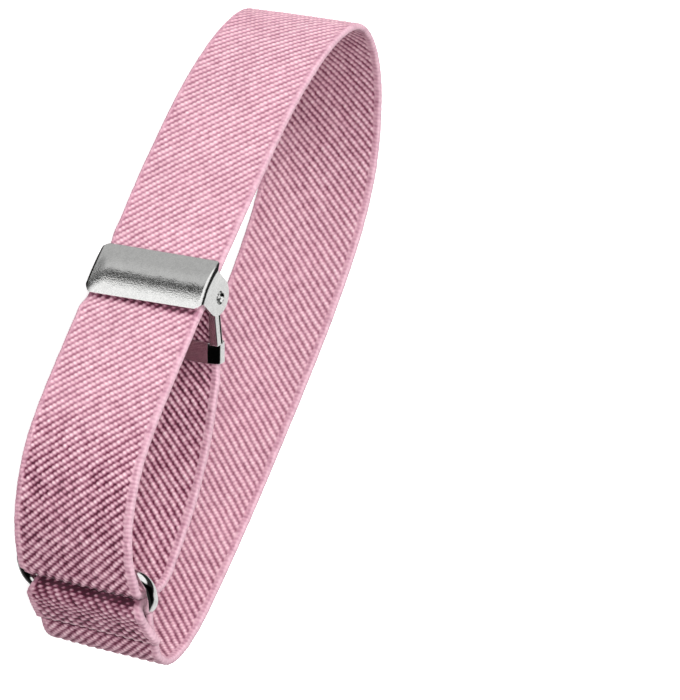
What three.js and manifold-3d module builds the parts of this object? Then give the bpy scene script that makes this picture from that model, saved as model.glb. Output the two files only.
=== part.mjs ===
// Shirt sleeve holder (sleeve garter): one elastic band, closed into an
// adjustable loop by a metal slide adjuster and a metal ring.
// Millimetres, +Z up.  The loop lies on its side, the band standing on its
// lower edge: Z runs across the band's width, X along the loop (ring at +X,
// crown of the loop at -X), Y across it (adjuster run at -Y, back run at +Y).
// The ring reaches lower than the band's edge, so the whole thing leans on it
// by a degree: the band is drawn level and the finished group is tipped.
import * as THREE from 'three';
import { mergeVertices } from 'three/addons/utils/BufferGeometryUtils.js';
import Module from 'manifold-3d';

const wasm = await Module();
wasm.setup();

const DEG = Math.PI / 180;

// ---- driving dimensions -----------------------------------------------------
const BAND_WIDTH = 25;          // elastic webbing, across
const BAND_THICK = 1.4;         // elastic webbing, through
const GAP = 0.3;                // air between neighbouring pieces
const WIRE = 2.2;               // ring wire diameter
const RING_LOW = -2.1;          // ring's lowest point, from the band's lower edge
const RING_HIGH = 28.4;         // ring's highest point
const SHEET = 0.6;              // cover plate's metal
const COVER_RISE = 1.1;         // how far the cover bulges out
const COVER_BEND = 1.0;         // outer radius of its two bends
const EAR_LOW = -0.1;           // outer face of the lower ear
const EAR_HIGH = 26.0;          // outer face of the upper ear
const PIVOT = { x: 1.8, y: -19.9 };   // pivot pin, also the frame's origin
const PIN_RADIUS = 0.7;
const PIN_HOLE = 1.0;
const LUG_RADIUS = 1.5;
const FRAME_ANGLE = 44;         // frame's lean from the loop's long axis
const FRAME_REACH = 13.3;       // pivot to the frame's far edge
const SLEEVE_TALL = 4.15;       // height of the frame's closed sleeve
const TIP_DEG = -0.998;         // lean of the level band onto its ring
const SHIFT = { x: 1.2007, y: 1.1221, z: 1.1366 };   // puts the box's bottom centre at 0,0,0

// ---- the band's route -------------------------------------------------------
// Middle line of the band, seen from above, from its sewn tail to its far end.
// x, y: place.  h: heading, degrees.  low, high: the band's edges across its
// width, squeezed a little where metal holds it.
const ROUTE = [
  // name               x       y       h      low   high
  ['tail_cut',          61.58,  4.85,  257.6,  0.1,  26.9],
  ['tail_at_ring',      59.81, -1.52,  250.4,  0.9,  25.7],
  ['low_bar_over',      57.13, -2.80,  160.4,  1.5,  24.8],
  ['low_bar_inside',    55.85, -0.12,   70.4,  1.5,  24.8],
  ['low_bar_leave',     56.48,  0.79,   40.0,  1.4,  24.8],
  ['under_tail',        59.45,  3.46,   58.0,  0.5,  25.0],
  ['past_step',         60.75,  6.30,   70.0,  0.3,  25.0],
  ['fold_start',        62.53, 10.22,   88.0,  0.0,  25.0],
  ['fold_middle',       61.96, 13.51,  117.2,  0.0,  25.0],
  ['fold_end',          59.17, 16.33,  147.1,  0.0,  25.0],
  ['back_low',          55.35, 18.15,  160.4,  0.0,  25.0],
  ['back_low_run',      48.51, 19.62,  172.0,  0.0,  25.0],
  ['back_run',          33.62, 21.05,  175.8,  0.0,  25.0],
  ['back_middle',       13.63, 21.98,  178.6,  0.0,  25.0],
  ['back_high',         -8.37, 22.26,  181.2,  0.0,  25.0],
  ['back_shoulder',    -26.33, 21.34,  186.5,  0.0,  25.0],
  ['crown_start',      -37.25, 19.45,  194.5,  0.0,  25.0],
  ['crown_back',       -47.46, 15.62,  207.5,  0.0,  25.0],
  ['crown_turn',       -55.67,  9.79,  221.0,  0.0,  25.0],
  ['crown_tighten',    -60.56,  4.78,  232.6,  0.0,  25.0],
  ['crown_back_tip',   -63.55, -0.58,  249.9,  0.0,  25.0],
  ['crown_tip',        -64.50, -5.66,  272.5,  0.0,  25.0],
  ['crown_front_tip',  -63.06,-10.18,  303.5,  0.0,  25.0],
  ['crown_loosen',     -59.32,-13.59,  326.0,  0.0,  25.0],
  ['crown_front',      -53.61,-16.52,  337.3,  0.0,  25.0],
  ['front_high',       -46.89,-18.65,  346.0,  0.0,  25.0],
  ['front_run',        -36.22,-20.57,  353.8,  0.0,  25.0],
  ['front_straight',   -21.23,-21.58,  357.2,  0.0,  25.0],
  ['cover_enter',       -6.21,-22.30,  357.8,  0.4,  25.0],
  ['cover_first',       -3.20,-22.42,  358.2,  0.8,  25.0],
  ['cover_last',         7.40,-22.62,  359.6,  0.8,  25.0],
  ['cover_leave',       10.50,-22.64,    0.0,  0.0,  25.0],
  ['front_low_run',     23.78,-22.58,    1.0,  0.0,  25.0],
  ['front_bend',        30.83,-22.27,    5.2,  0.0,  25.0],
  ['front_curve',       37.72,-21.23,   14.1,  0.0,  25.0],
  ['front_near_ring',   46.92,-17.39,   31.2,  0.0,  25.0],
  ['ring_approach',     52.40,-13.05,   45.0,  0.0,  25.2],
  ['high_bar_enter',    56.53, -8.05,   56.3,  0.2,  26.1],
  ['high_bar_over',     56.89, -6.88,   90.0,  1.0,  26.2],
  ['high_bar_leave',    56.61, -5.83,  120.0,  1.4,  25.7],
  ['inner_rise',        54.20, -1.60,  119.5,  0.6,  25.3],
  ['inner_bulge',       52.20,  0.95,  146.0,  0.0,  25.0],
  ['inner_turn',        49.30,  2.02,  172.0,  0.0,  25.0],
  ['inner_run',         45.70,  1.75,  184.0,  0.0,  25.0],
  ['inner_middle',      36.00,  0.75,  187.5,  0.0,  25.0],
  ['inner_bow',         29.84, -0.75,  195.5,  0.0,  25.0],
  ['inner_fall',        21.70, -3.75,  205.0,  0.0,  25.0],
  ['inner_to_sleeve',   14.60, -7.42,  207.5,  0.0,  25.0],
  ['sleeve_enter',      10.78, -9.76,  224.0,  0.4,  24.6],
  ['sleeve_leave',       7.18,-13.24,  224.0,  0.4,  24.6],
  ['window_in',          6.46,-13.94,  224.0,  1.6,  24.0],
  ['band_end',           3.50,-16.80,  224.0,  1.6,  24.0],
];
const STEP_LENGTH = 2.6;        // longest facet along the band
const STEP_TURN = 11;           // most turn in one facet, degrees

// Cubic spans through the rows; a span's handles are those of the arc that
// turns as far, so equal turns give true arcs and the rest stays smooth.
function routePoints() {
  const out = [];
  for (let i = 0; i + 1 < ROUTE.length; i++) {
    const [, x0, y0, h0, lo0, hi0] = ROUTE[i];
    const [, x1, y1, h1, lo1, hi1] = ROUTE[i + 1];
    let turn = ((h1 - h0 + 540) % 360) - 180;
    const chord = Math.hypot(x1 - x0, y1 - y0);
    const arm = chord / (3 * Math.cos((turn * DEG) / 4) ** 2);
    const c0 = [x0 + arm * Math.cos(h0 * DEG), y0 + arm * Math.sin(h0 * DEG)];
    const c1 = [x1 - arm * Math.cos(h1 * DEG), y1 - arm * Math.sin(h1 * DEG)];
    const n = Math.max(1, Math.ceil(chord / STEP_LENGTH), Math.ceil(Math.abs(turn) / STEP_TURN));
    for (let k = 0; k < n + (i + 2 === ROUTE.length ? 1 : 0); k++) {
      const t = k / n, s = 1 - t;
      const b = [s * s * s, 3 * s * s * t, 3 * s * t * t, t * t * t];
      const d = [-3 * s * s, 3 * s * s - 6 * s * t, 6 * s * t - 3 * t * t, 3 * t * t];
      const x = b[0] * x0 + b[1] * c0[0] + b[2] * c1[0] + b[3] * x1;
      const y = b[0] * y0 + b[1] * c0[1] + b[2] * c1[1] + b[3] * y1;
      const dx = d[0] * x0 + d[1] * c0[0] + d[2] * c1[0] + d[3] * x1;
      const dy = d[0] * y0 + d[1] * c0[1] + d[2] * c1[1] + d[3] * y1;
      const len = Math.hypot(dx, dy);
      const ease = t * t * (3 - 2 * t);
      out.push({ x, y, nx: dy / len, ny: -dx / len,
        low: lo0 + (lo1 - lo0) * ease, high: hi0 + (hi1 - hi0) * ease });
    }
  }
  return out;
}

// A closed body from rings of points: each ring has the same number of corners
// in the same turning sense; open ends are capped, closed runs are joined.
const fan = (n) => Array.from({ length: n - 2 }, (_, j) => [0, j + 1, j + 2]);
function bodyFromRings(rings, closed, capTriangles) {
  const n = rings[0].length, positions = [], index = [];
  for (const ring of rings) for (const p of ring) positions.push(...p);
  const last = closed ? rings.length : rings.length - 1;
  for (let i = 0; i < last; i++) {
    const a = i * n, b = ((i + 1) % rings.length) * n;
    for (let j = 0; j < n; j++) {
      const k = (j + 1) % n;
      index.push(a + j, b + k, a + k, a + j, b + j, b + k);
    }
  }
  if (!closed) {
    const e = (rings.length - 1) * n;
    for (const [p, q, r] of capTriangles || fan(n)) {
      index.push(p, q, r);
      index.push(e + p, e + r, e + q);
    }
  }
  const g = new THREE.BufferGeometry();
  g.setAttribute('position', new THREE.Float32BufferAttribute(positions, 3));
  g.setIndex(index);
  return g;
}

function bandGeometry() {
  const t = BAND_THICK / 2;
  const rings = routePoints().map((p) => [
    [p.x + t * p.nx, p.y + t * p.ny, p.low],
    [p.x + t * p.nx, p.y + t * p.ny, p.high],
    [p.x - t * p.nx, p.y - t * p.ny, p.high],
    [p.x - t * p.nx, p.y - t * p.ny, p.low],
  ]);
  return bodyFromRings(rings, false);
}

// ---- ring: round wire bent into a long loop with rounded corners --------------
const BAR_HIGH = { x: 53.75, y: -8.20 };   // bar that the adjuster run turns round
const BAR_LOW = { x: 57.83, y: -0.82 };    // bar that the sewn tail holds
const RING_CORNER = 3.2;                   // wire's middle line, at the corners
function ringGeometry(wireSides = 14, cornerSteps = 7) {
  const mid = { x: (BAR_HIGH.x + BAR_LOW.x) / 2, y: (BAR_HIGH.y + BAR_LOW.y) / 2 };
  const across = { x: BAR_LOW.x - BAR_HIGH.x, y: BAR_LOW.y - BAR_HIGH.y };
  const span = Math.hypot(across.x, across.y);
  const e = { x: across.x / span, y: across.y / span };
  const n = { x: e.y, y: -e.x };            // out of the ring's plane
  const w = WIRE / 2, r = RING_CORNER, u = span / 2 - r;
  const zLow = RING_LOW + w + r, zHigh = RING_HIGH - w - r;
  const corners = [[-u, zLow, 180], [u, zLow, 270], [u, zHigh, 0], [-u, zHigh, 90]];
  const line = [];
  for (const [cu, cz, from] of corners) {
    for (let i = 0; i <= cornerSteps; i++) {
      const a = (from + (90 * i) / cornerSteps) * DEG;
      line.push({ u: cu + r * Math.cos(a), z: cz + r * Math.sin(a), a });
    }
  }
  const rings = line.map((p) => {
    const out = [];
    for (let j = 0; j < wireSides; j++) {
      const b = (2 * Math.PI * j) / wireSides;
      const rad = w * Math.cos(b), off = w * Math.sin(b);
      const q = p.u + rad * Math.cos(p.a), z = p.z + rad * Math.sin(p.a);
      out.push([mid.x + e.x * q + n.x * off, mid.y + e.y * q + n.y * off, z]);
    }
    return out;
  });
  return bodyFromRings(rings, true);
}

// ---- solids that are joined or cut ---------------------------------------------
function toSolid(geometry) {
  let g = geometry.clone();
  g.deleteAttribute('normal');
  g.deleteAttribute('uv');
  g = mergeVertices(g, 1e-5);
  return new wasm.Manifold(new wasm.Mesh({
    numProp: 3,
    vertProperties: Float32Array.from(g.attributes.position.array),
    triVerts: Uint32Array.from(g.index.array),
  }));
}
function toGeometry(solid) {
  const m = solid.getMesh();
  const g = new THREE.BufferGeometry();
  g.setAttribute('position', new THREE.BufferAttribute(Float32Array.from(m.vertProperties), 3));
  g.setIndex(new THREE.BufferAttribute(Uint32Array.from(m.triVerts), 1));
  return g;
}
function plate(shape, z0, z1, curveSegments = 16) {
  const g = new THREE.ExtrudeGeometry(shape, { depth: z1 - z0, bevelEnabled: false, curveSegments });
  g.translate(0, 0, z0);
  return g;
}
function polygon(points) {
  const s = new THREE.Shape();
  points.forEach(([x, y], i) => (i ? s.lineTo(x, y) : s.moveTo(x, y)));
  s.closePath();
  return s;
}

// ---- adjuster cover: bulged plate with an ear turned back at each end -----------
const COVER_EDGE_Y = -24.05;    // outer skin along the plate's two long edges
const COVER_OUTLINE = [         // plate seen from outside: corners cut, a little tapered
  // x      z
  [-3.10, 1.58], [-3.50, 25.1], [-2.70, 26.2], [5.70, 26.2],
  [6.85, 24.6], [7.35, 1.30], [5.20, -0.3], [-1.93, -0.3],
];
const EAR = { x: 2.0, y: -20.4, radius: 3.6, left: -1.6, right: 5.6 };
function coverGeometry() {
  const from = -4.2, to = 8.2, steps = 16, arc = 4;
  const section = (x) => {
    const t = (x + 3.3) / 10.4;
    const y = COVER_EDGE_Y - 0.2 * t - COVER_RISE * 4 * t * (1 - t);
    const skin = (inset, r) => {            // U-shaped line, low end to high end
      const line = [[-15.5, EAR_LOW + inset]];
      for (let i = 0; i <= arc; i++) {
        const a = (Math.PI / 2) * (i / arc);
        line.push([y + inset + r - r * Math.sin(a), EAR_LOW + inset + r - r * Math.cos(a)]);
      }
      for (let i = arc; i >= 0; i--) {
        const a = (Math.PI / 2) * (i / arc);
        line.push([y + inset + r - r * Math.sin(a), EAR_HIGH - inset - r + r * Math.cos(a)]);
      }
      line.push([-15.5, EAR_HIGH - inset]);
      return line;
    };
    return [...skin(0, COVER_BEND), ...skin(SHEET, COVER_BEND - SHEET).reverse()]
      .map(([py, pz]) => [x, py, pz]);
  };
  const rings = Array.from({ length: steps + 1 }, (_, i) => section(from + ((to - from) * i) / steps));
  const face = rings[0].map(([, y, z]) => new THREE.Vector2(y, z));
  const turns = (list) => Math.sign(THREE.ShapeUtils.area(list));
  const caps = THREE.ShapeUtils.triangulateShape(face, []).map((t) =>
    (turns(t.map((k) => face[k])) === turns(face) ? t : [t[0], t[2], t[1]]));
  const channel = toSolid(bodyFromRings(rings, false, caps));
  const front = new THREE.ExtrudeGeometry(polygon(COVER_OUTLINE), { depth: 4.05, bevelEnabled: false });
  front.rotateX(Math.PI / 2);             // outline's second axis becomes Z, depth runs to -Y
  front.translate(0, -22.95, 0);
  const ear = [[EAR.left, -23.0], [EAR.left, EAR.y]];
  for (let i = 1; i < 20; i++) {
    const a = Math.PI - (Math.PI * i) / 20;
    ear.push([EAR.x + EAR.radius * Math.cos(a), EAR.y + EAR.radius * Math.sin(a)]);
  }
  ear.push([EAR.right, EAR.y], [EAR.right, -23.0]);
  const kept = toSolid(front).add(toSolid(plate(polygon(ear), EAR_LOW - 1, EAR_HIGH + 1)));
  return toGeometry(channel.intersect(kept));
}

// ---- adjuster frame: two lugs on the pin, two arms, and a closed sleeve ---------
// Drawn about the pivot with X along the frame, Y through it, then turned.
const SLEEVE = { front: -0.3, back: 2.4, low: -0.7, high: 25.7 };
const SLOT = { front: 0.1, back: 2.0, low: 0.1, high: 24.9 };
const ARM_FACE = { front: -0.55, back: 0.0 };      // narrow strip beside the window
const ARM_FLANGE = { front: -0.55, back: 1.3 };    // side turned back, carries the pin hole
const ARM_SIDES = [
  // outer face   strip's inner edge   flange's inner face   spread at the sleeve
  [0.8,           2.9,                 1.4,                  -1.5],
  [25.1,          22.9,                24.5,                 0.6],
];
const ARM_KNEE = 3.0;           // where the arms start to spread
function frameGeometry() {
  const s0 = FRAME_REACH - SLEEVE_TALL, s1 = FRAME_REACH, root = s0 + 0.3;
  // block whose outer side spreads evenly from the knee to the sleeve
  const block = (sa, sb, n, zOuter, zInner, dOuter, dInner) => {
    const g = new THREE.BoxGeometry(sb - sa, n.back - n.front, Math.abs(zOuter - zInner));
    g.translate((sa + sb) / 2, (n.front + n.back) / 2, (zOuter + zInner) / 2);
    const p = g.attributes.position;
    for (let i = 0; i < p.count; i++) {
      if (p.getX(i) < (sa + sb) / 2) continue;
      const outer = Math.abs(p.getZ(i) - zOuter) < 1e-6;
      p.setZ(i, p.getZ(i) + (outer ? dOuter : dInner));
    }
    return toSolid(g);
  };
  // sleeve, rounded along its edges: outline in X-Y, run along Z
  const { front: f, back: b } = SLEEVE, c = 0.55, k = 0.16;
  const outline = [[s0 + c, f], [s1 - c, f], [s1 - k, f + k], [s1, f + c], [s1, b - c],
    [s1 - k, b - k], [s1 - c, b], [s0 + c, b], [s0 + k, b - k], [s0, b - c],
    [s0, f + c], [s0 + k, f + k]];
  let body = toSolid(plate(polygon(outline), SLEEVE.low, SLEEVE.high));
  const lug = new THREE.Shape();
  lug.moveTo(ARM_KNEE, ARM_FLANGE.front);
  lug.lineTo(ARM_KNEE, ARM_FLANGE.back);
  lug.absarc(0, 0, LUG_RADIUS, 0.95, 2 * Math.PI - 0.6, false);
  lug.closePath();
  const hole = new THREE.Path();
  hole.absarc(0, 0, PIN_HOLE, 0, 2 * Math.PI, true);
  lug.holes.push(hole);
  for (const [zOut, zStrip, zFlange, spread] of ARM_SIDES) {
    body = body.add(toSolid(plate(lug, Math.min(zOut, zFlange), Math.max(zOut, zFlange), 12)));
    body = body.add(block(2.2, ARM_KNEE, ARM_FACE, zOut, zStrip, 0, 0));
    body = body.add(block(ARM_KNEE, root, ARM_FACE, zOut, zStrip, spread, 0));
    body = body.add(block(ARM_KNEE, root, ARM_FLANGE, zOut, zFlange, spread, spread));
  }
  const slot = new THREE.BoxGeometry(SLEEVE_TALL + 1.2, SLOT.back - SLOT.front, SLOT.high - SLOT.low);
  slot.translate((s0 + s1) / 2, (SLOT.front + SLOT.back) / 2, (SLOT.low + SLOT.high) / 2);
  const g = toGeometry(body.subtract(toSolid(slot)));
  g.rotateZ(FRAME_ANGLE * DEG);
  g.translate(PIVOT.x, PIVOT.y, 0);
  return g;
}

function pinGeometry() {
  const g = new THREE.CylinderGeometry(PIN_RADIUS, PIN_RADIUS, ARM_SIDES[1][0] - ARM_SIDES[0][0], 20);
  g.rotateX(Math.PI / 2);
  g.translate(PIVOT.x, PIVOT.y, (ARM_SIDES[1][0] + ARM_SIDES[0][0]) / 2);
  return g;
}

// ---- assembly --------------------------------------------------------------------
const elastic = new THREE.MeshStandardMaterial({ color: 0xe8a9bb, roughness: 0.85, metalness: 0 });
const satin = new THREE.MeshStandardMaterial({ color: 0xb9b9b6, roughness: 0.35, metalness: 1 });
const polished = new THREE.MeshStandardMaterial({ color: 0xd2d2d0, roughness: 0.12, metalness: 1 });

function named(name, geometry, material) {
  geometry.computeVertexNormals();
  const m = new THREE.Mesh(geometry, material);
  m.name = name;
  return m;
}

const level = new THREE.Group();
level.add(
  named('elastic_band', bandGeometry(), elastic),
  named('cover_plate', coverGeometry(), satin),
  named('back_frame', frameGeometry(), polished),
  named('pivot_pin', pinGeometry(), polished),
  named('slide_ring', ringGeometry(), polished),
);

const group = new THREE.Group();
group.add(level);
group.rotation.y = TIP_DEG * DEG;
group.position.set(SHIFT.x, SHIFT.y, SHIFT.z);

export default group;
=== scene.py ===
"""Shirt sleeve holder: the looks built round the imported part.

Lengths in the tables are millimetres in the band's own level frame (Z across the band's
width, lower edge at 0); place() turns them into the row frame in metres.
"""

import math

import bmesh
import bpy
import numpy as np
from mathutils import Matrix, Vector

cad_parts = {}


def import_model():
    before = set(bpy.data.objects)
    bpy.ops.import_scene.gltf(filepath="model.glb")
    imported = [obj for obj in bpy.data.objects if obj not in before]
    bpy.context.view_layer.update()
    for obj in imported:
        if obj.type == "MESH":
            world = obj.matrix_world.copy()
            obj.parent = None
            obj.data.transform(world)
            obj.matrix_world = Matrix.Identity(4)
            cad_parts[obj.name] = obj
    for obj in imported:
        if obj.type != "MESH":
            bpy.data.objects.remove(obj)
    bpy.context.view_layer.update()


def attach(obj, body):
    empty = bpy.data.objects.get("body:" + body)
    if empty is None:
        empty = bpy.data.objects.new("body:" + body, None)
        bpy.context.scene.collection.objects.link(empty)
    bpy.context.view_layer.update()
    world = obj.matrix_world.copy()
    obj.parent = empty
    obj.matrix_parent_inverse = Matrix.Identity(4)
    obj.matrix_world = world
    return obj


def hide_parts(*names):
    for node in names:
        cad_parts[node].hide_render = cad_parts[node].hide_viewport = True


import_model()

# ------------------------------------------------------------------ sizes
TIP = math.radians(-0.998)  # the level band leans this much onto its ring
SHIFT = np.array([1.2007, 1.1221, 1.1366])
TIP_MATRIX = np.array(
    [
        [math.cos(TIP), 0.0, math.sin(TIP)],
        [0.0, 1.0, 0.0],
        [-math.sin(TIP), 0.0, math.cos(TIP)],
    ]
)


def place(points):
    """Band frame in mm to row frame in metres."""
    return (np.asarray(points, float) @ TIP_MATRIX.T + SHIFT) * 0.001


def turn(vectors):
    return np.asarray(vectors, float) @ TIP_MATRIX.T


BAND_WIDTH = 25.0
WARP_REPEAT = 1.62  # one float and its dip, along the band
END_PITCH = 0.618  # one warp yarn, across the band
RIB_REPEAT = 3 * END_PITCH  # the twill steps over three yarns
SELVEDGE_PITCH = 0.81

ROUTE = [
    # name               x       y       h      low   high
    ("tail_cut", 61.58, 4.85, 257.6, -0.1, 26.9),
    ("tail_at_ring", 59.81, -1.52, 250.4, 0.2, 25.7),
    ("low_bar_over", 57.13, -2.80, 160.4, 1.5, 24.8),
    ("low_bar_inside", 55.85, -0.12, 70.4, 1.5, 24.8),
    ("low_bar_leave", 56.48, 0.79, 40.0, 1.4, 24.8),
    ("under_tail", 59.45, 3.46, 58.0, -0.3, 25.0),
    ("past_step", 60.75, 6.30, 70.0, -0.6, 25.0),
    ("fold_start", 62.53, 10.22, 88.0, -0.5, 25.0),
    ("fold_middle", 61.96, 13.51, 117.2, -0.3, 25.0),
    ("fold_end", 59.17, 16.33, 147.1, 0.0, 25.0),
    ("back_low", 55.35, 18.15, 160.4, 0.0, 25.0),
    ("back_low_run", 48.51, 19.62, 172.0, 0.0, 25.0),
    ("back_run", 33.62, 21.05, 175.8, 0.0, 25.0),
    ("back_middle", 13.63, 21.98, 178.6, 0.0, 25.0),
    ("back_high", -8.37, 22.26, 181.2, 0.0, 25.0),
    ("back_shoulder", -26.33, 21.34, 186.5, 0.0, 25.0),
    ("crown_start", -37.25, 19.45, 194.5, 0.0, 25.0),
    ("crown_back", -47.46, 15.62, 207.5, 0.0, 25.0),
    ("crown_turn", -55.67, 9.79, 221.0, 0.0, 25.0),
    ("crown_tighten", -60.56, 4.78, 232.6, 0.0, 25.0),
    ("crown_back_tip", -63.55, -0.58, 249.9, 0.0, 25.0),
    ("crown_tip", -64.50, -5.66, 272.5, 0.0, 25.0),
    ("crown_front_tip", -63.06, -10.18, 303.5, 0.0, 25.0),
    ("crown_loosen", -59.32, -13.59, 326.0, 0.0, 25.0),
    ("crown_front", -53.61, -16.52, 337.3, 0.0, 25.0),
    ("front_high", -46.89, -18.65, 346.0, 0.0, 25.0),
    ("front_run", -36.22, -20.57, 353.8, 0.0, 25.0),
    ("front_straight", -21.23, -21.58, 357.2, 0.0, 25.0),
    ("cover_enter", -6.21, -22.30, 357.8, 0.4, 25.0),
    ("cover_first", -3.20, -22.42, 358.2, 0.8, 25.0),
    ("cover_last", 7.40, -22.62, 359.6, 0.8, 25.0),
    ("cover_leave", 10.50, -22.64, 0.0, 0.0, 25.0),
    ("front_low_run", 23.78, -22.58, 1.0, 0.0, 25.0),
    ("front_bend", 30.83, -22.27, 5.2, 0.0, 25.0),
    ("front_curve", 37.72, -21.23, 14.1, 0.0, 25.0),
    ("front_near_ring", 46.92, -17.39, 31.2, 0.0, 25.0),
    ("ring_approach", 52.40, -13.05, 45.0, 0.0, 25.2),
    ("high_bar_enter", 56.53, -8.05, 56.3, 0.2, 26.1),
    ("high_bar_over", 56.89, -6.88, 90.0, 1.0, 26.2),
    ("high_bar_leave", 56.61, -5.83, 120.0, 1.4, 25.7),
    ("inner_rise", 54.20, -1.60, 119.5, 0.6, 25.3),
    ("inner_bulge", 52.20, 0.95, 146.0, 0.0, 25.0),
    ("inner_turn", 49.30, 2.02, 172.0, 0.0, 25.0),
    ("inner_run", 45.70, 1.75, 184.0, 0.0, 25.0),
    ("inner_middle", 36.00, 0.75, 187.5, 0.0, 25.0),
    ("inner_bow", 29.84, -0.75, 195.5, 0.0, 25.0),
    ("inner_fall", 21.70, -3.75, 205.0, 0.0, 25.0),
    ("inner_to_sleeve", 14.60, -7.42, 207.5, 0.0, 25.0),
    ("sleeve_enter", 10.78, -9.76, 224.0, 0.4, 24.6),
    ("sleeve_leave", 7.18, -13.24, 224.0, 0.4, 24.6),
    ("window_in", 6.46, -13.94, 224.0, 1.6, 24.0),
    ("band_end", 3.50, -16.80, 224.0, 1.6, 24.0),
]


def route():
    """The band's middle line, evenly sampled: place, low and high edge, length so far."""
    pts = []
    for (_, x0, y0, h0, lo0, hi0), (_, x1, y1, h1, lo1, hi1) in zip(ROUTE, ROUTE[1:]):
        bend = (h1 - h0 + 540) % 360 - 180
        chord = math.hypot(x1 - x0, y1 - y0)
        arm = chord / (3 * math.cos(math.radians(bend) / 4) ** 2)
        a0, a1 = math.radians(h0), math.radians(h1)
        p = np.array(
            [
                [x0, y0],
                [x0 + arm * math.cos(a0), y0 + arm * math.sin(a0)],
                [x1 - arm * math.cos(a1), y1 - arm * math.sin(a1)],
                [x1, y1],
            ]
        )
        t = np.linspace(0, 1, 200, endpoint=False)
        if x1 == ROUTE[-1][1] and y1 == ROUTE[-1][2]:
            t = np.linspace(0, 1, 200)
        s = 1 - t
        w = np.stack([s**3, 3 * s * s * t, 3 * s * t * t, t**3], -1)
        ease = t * t * (3 - 2 * t)
        pts.append(
            np.column_stack([w @ p, lo0 + (lo1 - lo0) * ease, hi0 + (hi1 - hi0) * ease])
        )
    pts = np.concatenate(pts)
    length = np.concatenate(
        [[0], np.cumsum(np.linalg.norm(np.diff(pts[:, :2], axis=0), axis=1))]
    )
    return pts, length


PTS, LENGTH = route()
TOTAL = float(LENGTH[-1])


def at(name):
    """How far along the band a named row of the table lies."""
    row = [r[0] for r in ROUTE].index(name)
    return float(LENGTH[min(row * 200, len(LENGTH) - 1)])



# ------------------------------------------------------------------ helpers
def smooth(a, b, x):
    t = np.clip((x - a) / (b - a), 0, 1)
    return t * t * (3 - 2 * t)


def grid_mesh(name, rings, uv=None, normals=None, weave_shading_level=None, cap=True):
    """A closed body from rings of points (stations x ring x 3), in row-frame metres."""
    ns, nr, _ = rings.shape
    i = np.arange(ns - 1)[:, None]
    j = np.arange(nr)[None]
    k = (j + 1) % nr
    quads = np.stack(
        [i * nr + j + 0 * k, (i + 1) * nr + j + 0 * k, (i + 1) * nr + k, i * nr + k], -1
    ).reshape(-1, 4)
    half = nr // 2
    caps = []
    if cap:
        for base, flip in ((0, False), ((ns - 1) * nr, True)):
            for q in range(half):
                a, b = q, q + 1
                c, d = (nr - q - 1) % nr, (nr - q) % nr
                face = [base + a, base + b, base + c, base + d]
                face = [f for n, f in enumerate(face) if f not in face[:n]]
                if len(face) > 2:
                    caps.append(face[::-1] if flip else face)
    sizes = [4] * len(quads) + [len(c) for c in caps]
    loops = np.concatenate([quads.reshape(-1), np.array([v for c in caps for v in c], int)]) if caps else quads.reshape(-1)
    me = bpy.data.meshes.new(name)
    me.vertices.add(ns * nr)
    me.vertices.foreach_set("co", rings.reshape(-1).astype(np.float32))
    me.loops.add(len(loops))
    me.loops.foreach_set("vertex_index", loops.astype(np.int32))
    me.polygons.add(len(sizes))
    starts = np.concatenate([[0], np.cumsum(sizes)[:-1]]).astype(np.int32)
    me.polygons.foreach_set("loop_start", starts)
    me.update(calc_edges=True)
    me.validate()
    me.polygons.foreach_set("use_smooth", np.ones(len(me.polygons), bool))
    if uv is not None:
        layer = me.uv_layers.new(name="weave")
        quad_uv = np.stack(
            [uv[:-1, :-1], uv[1:, :-1], uv[1:, 1:], uv[:-1, 1:]], -2
        ).reshape(-1, 2)
        cap_uv = []
        flat = uv[:, :-1].reshape(-1, 2)
        for c in caps:
            cap_uv += [flat[v] for v in c]
        data = np.concatenate([quad_uv, np.array(cap_uv)]) if caps else quad_uv
        layer.data.foreach_set("uv", data.reshape(-1).astype(np.float32))
    if weave_shading_level is not None:
        layer = me.attributes.new("weave_shading_level", "FLOAT", "POINT")
        layer.data.foreach_set("value", weave_shading_level.reshape(-1).astype(np.float32))
    if normals is not None:
        me.normals_split_custom_set_from_vertices(normals.reshape(-1, 3).tolist())
    ob = bpy.data.objects.new(name, me)
    bpy.context.scene.collection.objects.link(ob)
    return ob


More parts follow.
